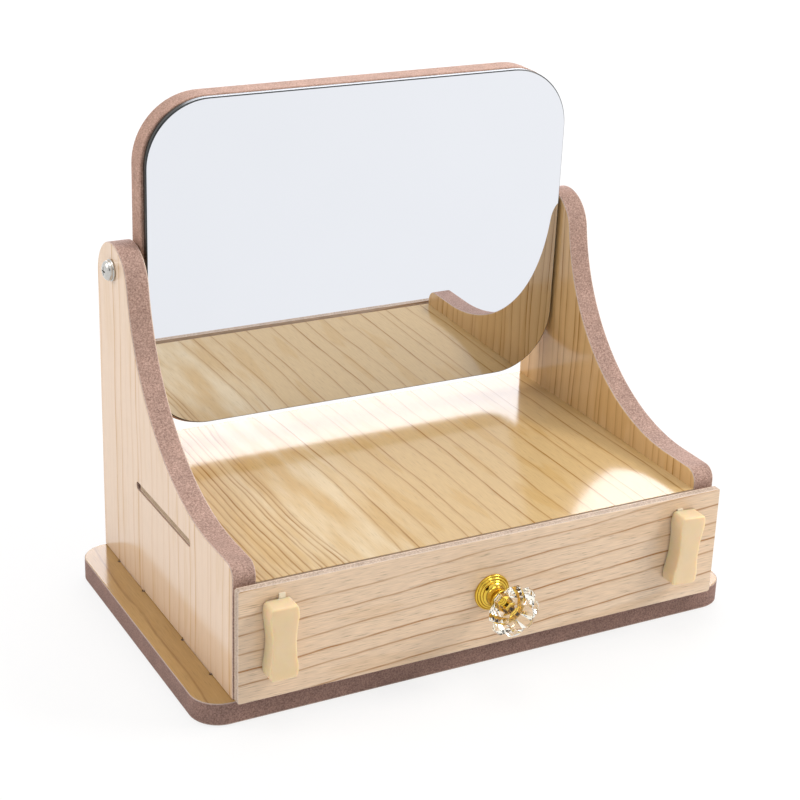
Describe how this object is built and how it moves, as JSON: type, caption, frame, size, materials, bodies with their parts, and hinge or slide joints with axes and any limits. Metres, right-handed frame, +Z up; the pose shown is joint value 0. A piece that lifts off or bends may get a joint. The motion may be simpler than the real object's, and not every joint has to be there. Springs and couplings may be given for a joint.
{
  "type": "makeup mirror with drawer",
  "caption": "Tabletop make-up mirror that tilts between two curved side panels above a small wooden cabinet with a crystal-knobbed drawer.",
  "frame": {"origin": "middle of the base board's underside, on the table", "axes": "+X to the right across the width, +Y to the rear, +Z up; the mirror and the drawer front face -Y"},
  "size_m": [0.224, 0.1551, 0.1949],
  "materials": {
    "thick_board": "pale wood-grain paper on 9 mm fibreboard, bare brown edges",
    "thin_board": "pale wood-grain paper on 3 mm fibreboard, bare brown edges",
    "silvered_glass": "silvered glass with a fine bevel",
    "foam_tape": "white double-sided foam tape",
    "zinc_steel": "bright zinc plating",
    "gold_plated_metal": "polished gold-coloured plating",
    "cut_crystal": "clear cut crystal",
    "cream_plastic": "cream moulded plastic, satin"
  },
  "bodies": {
    "cabinet": {"base_board": "thick_board", "left_side_panel": "thick_board", "right_side_panel": "thick_board", "shelf_board": "thin_board", "back_panel": "thin_board"},
    "mirror": {"mirror_glass": "silvered_glass", "mirror_backing_board": "thick_board", "mirror_tape_strips": "foam_tape", "left_pivot_screw": "zinc_steel", "right_pivot_screw": "zinc_steel", "left_outer_washer": "zinc_steel", "right_outer_washer": "zinc_steel", "left_spacer_washer": "zinc_steel", "right_spacer_washer": "zinc_steel"},
    "drawer": {"drawer_front": "thin_board", "drawer_box_front": "thin_board", "drawer_box_back": "thin_board", "drawer_left_side": "thin_board", "drawer_right_side": "thin_board", "drawer_floor": "thin_board", "knob_rosette": "gold_plated_metal", "knob_crystal": "cut_crystal", "knob_screw": "zinc_steel", "knob_washer": "zinc_steel", "left_grip": "cream_plastic", "right_grip": "cream_plastic", "left_grip_tape": "foam_tape", "right_grip_tape": "foam_tape"}
  },
  "joints": [
    {"name": "mirror_tilt", "type": "hinge", "parent": "cabinet", "child": "mirror", "pos_m": [0, 0.049, 0.1304], "axis": [-1, 0, 0], "continuous": true},
    {"name": "drawer_slide", "type": "slide", "parent": "cabinet", "child": "drawer", "axis": [0, -1, 0], "range_m": [0, 0.11]}
  ]
}
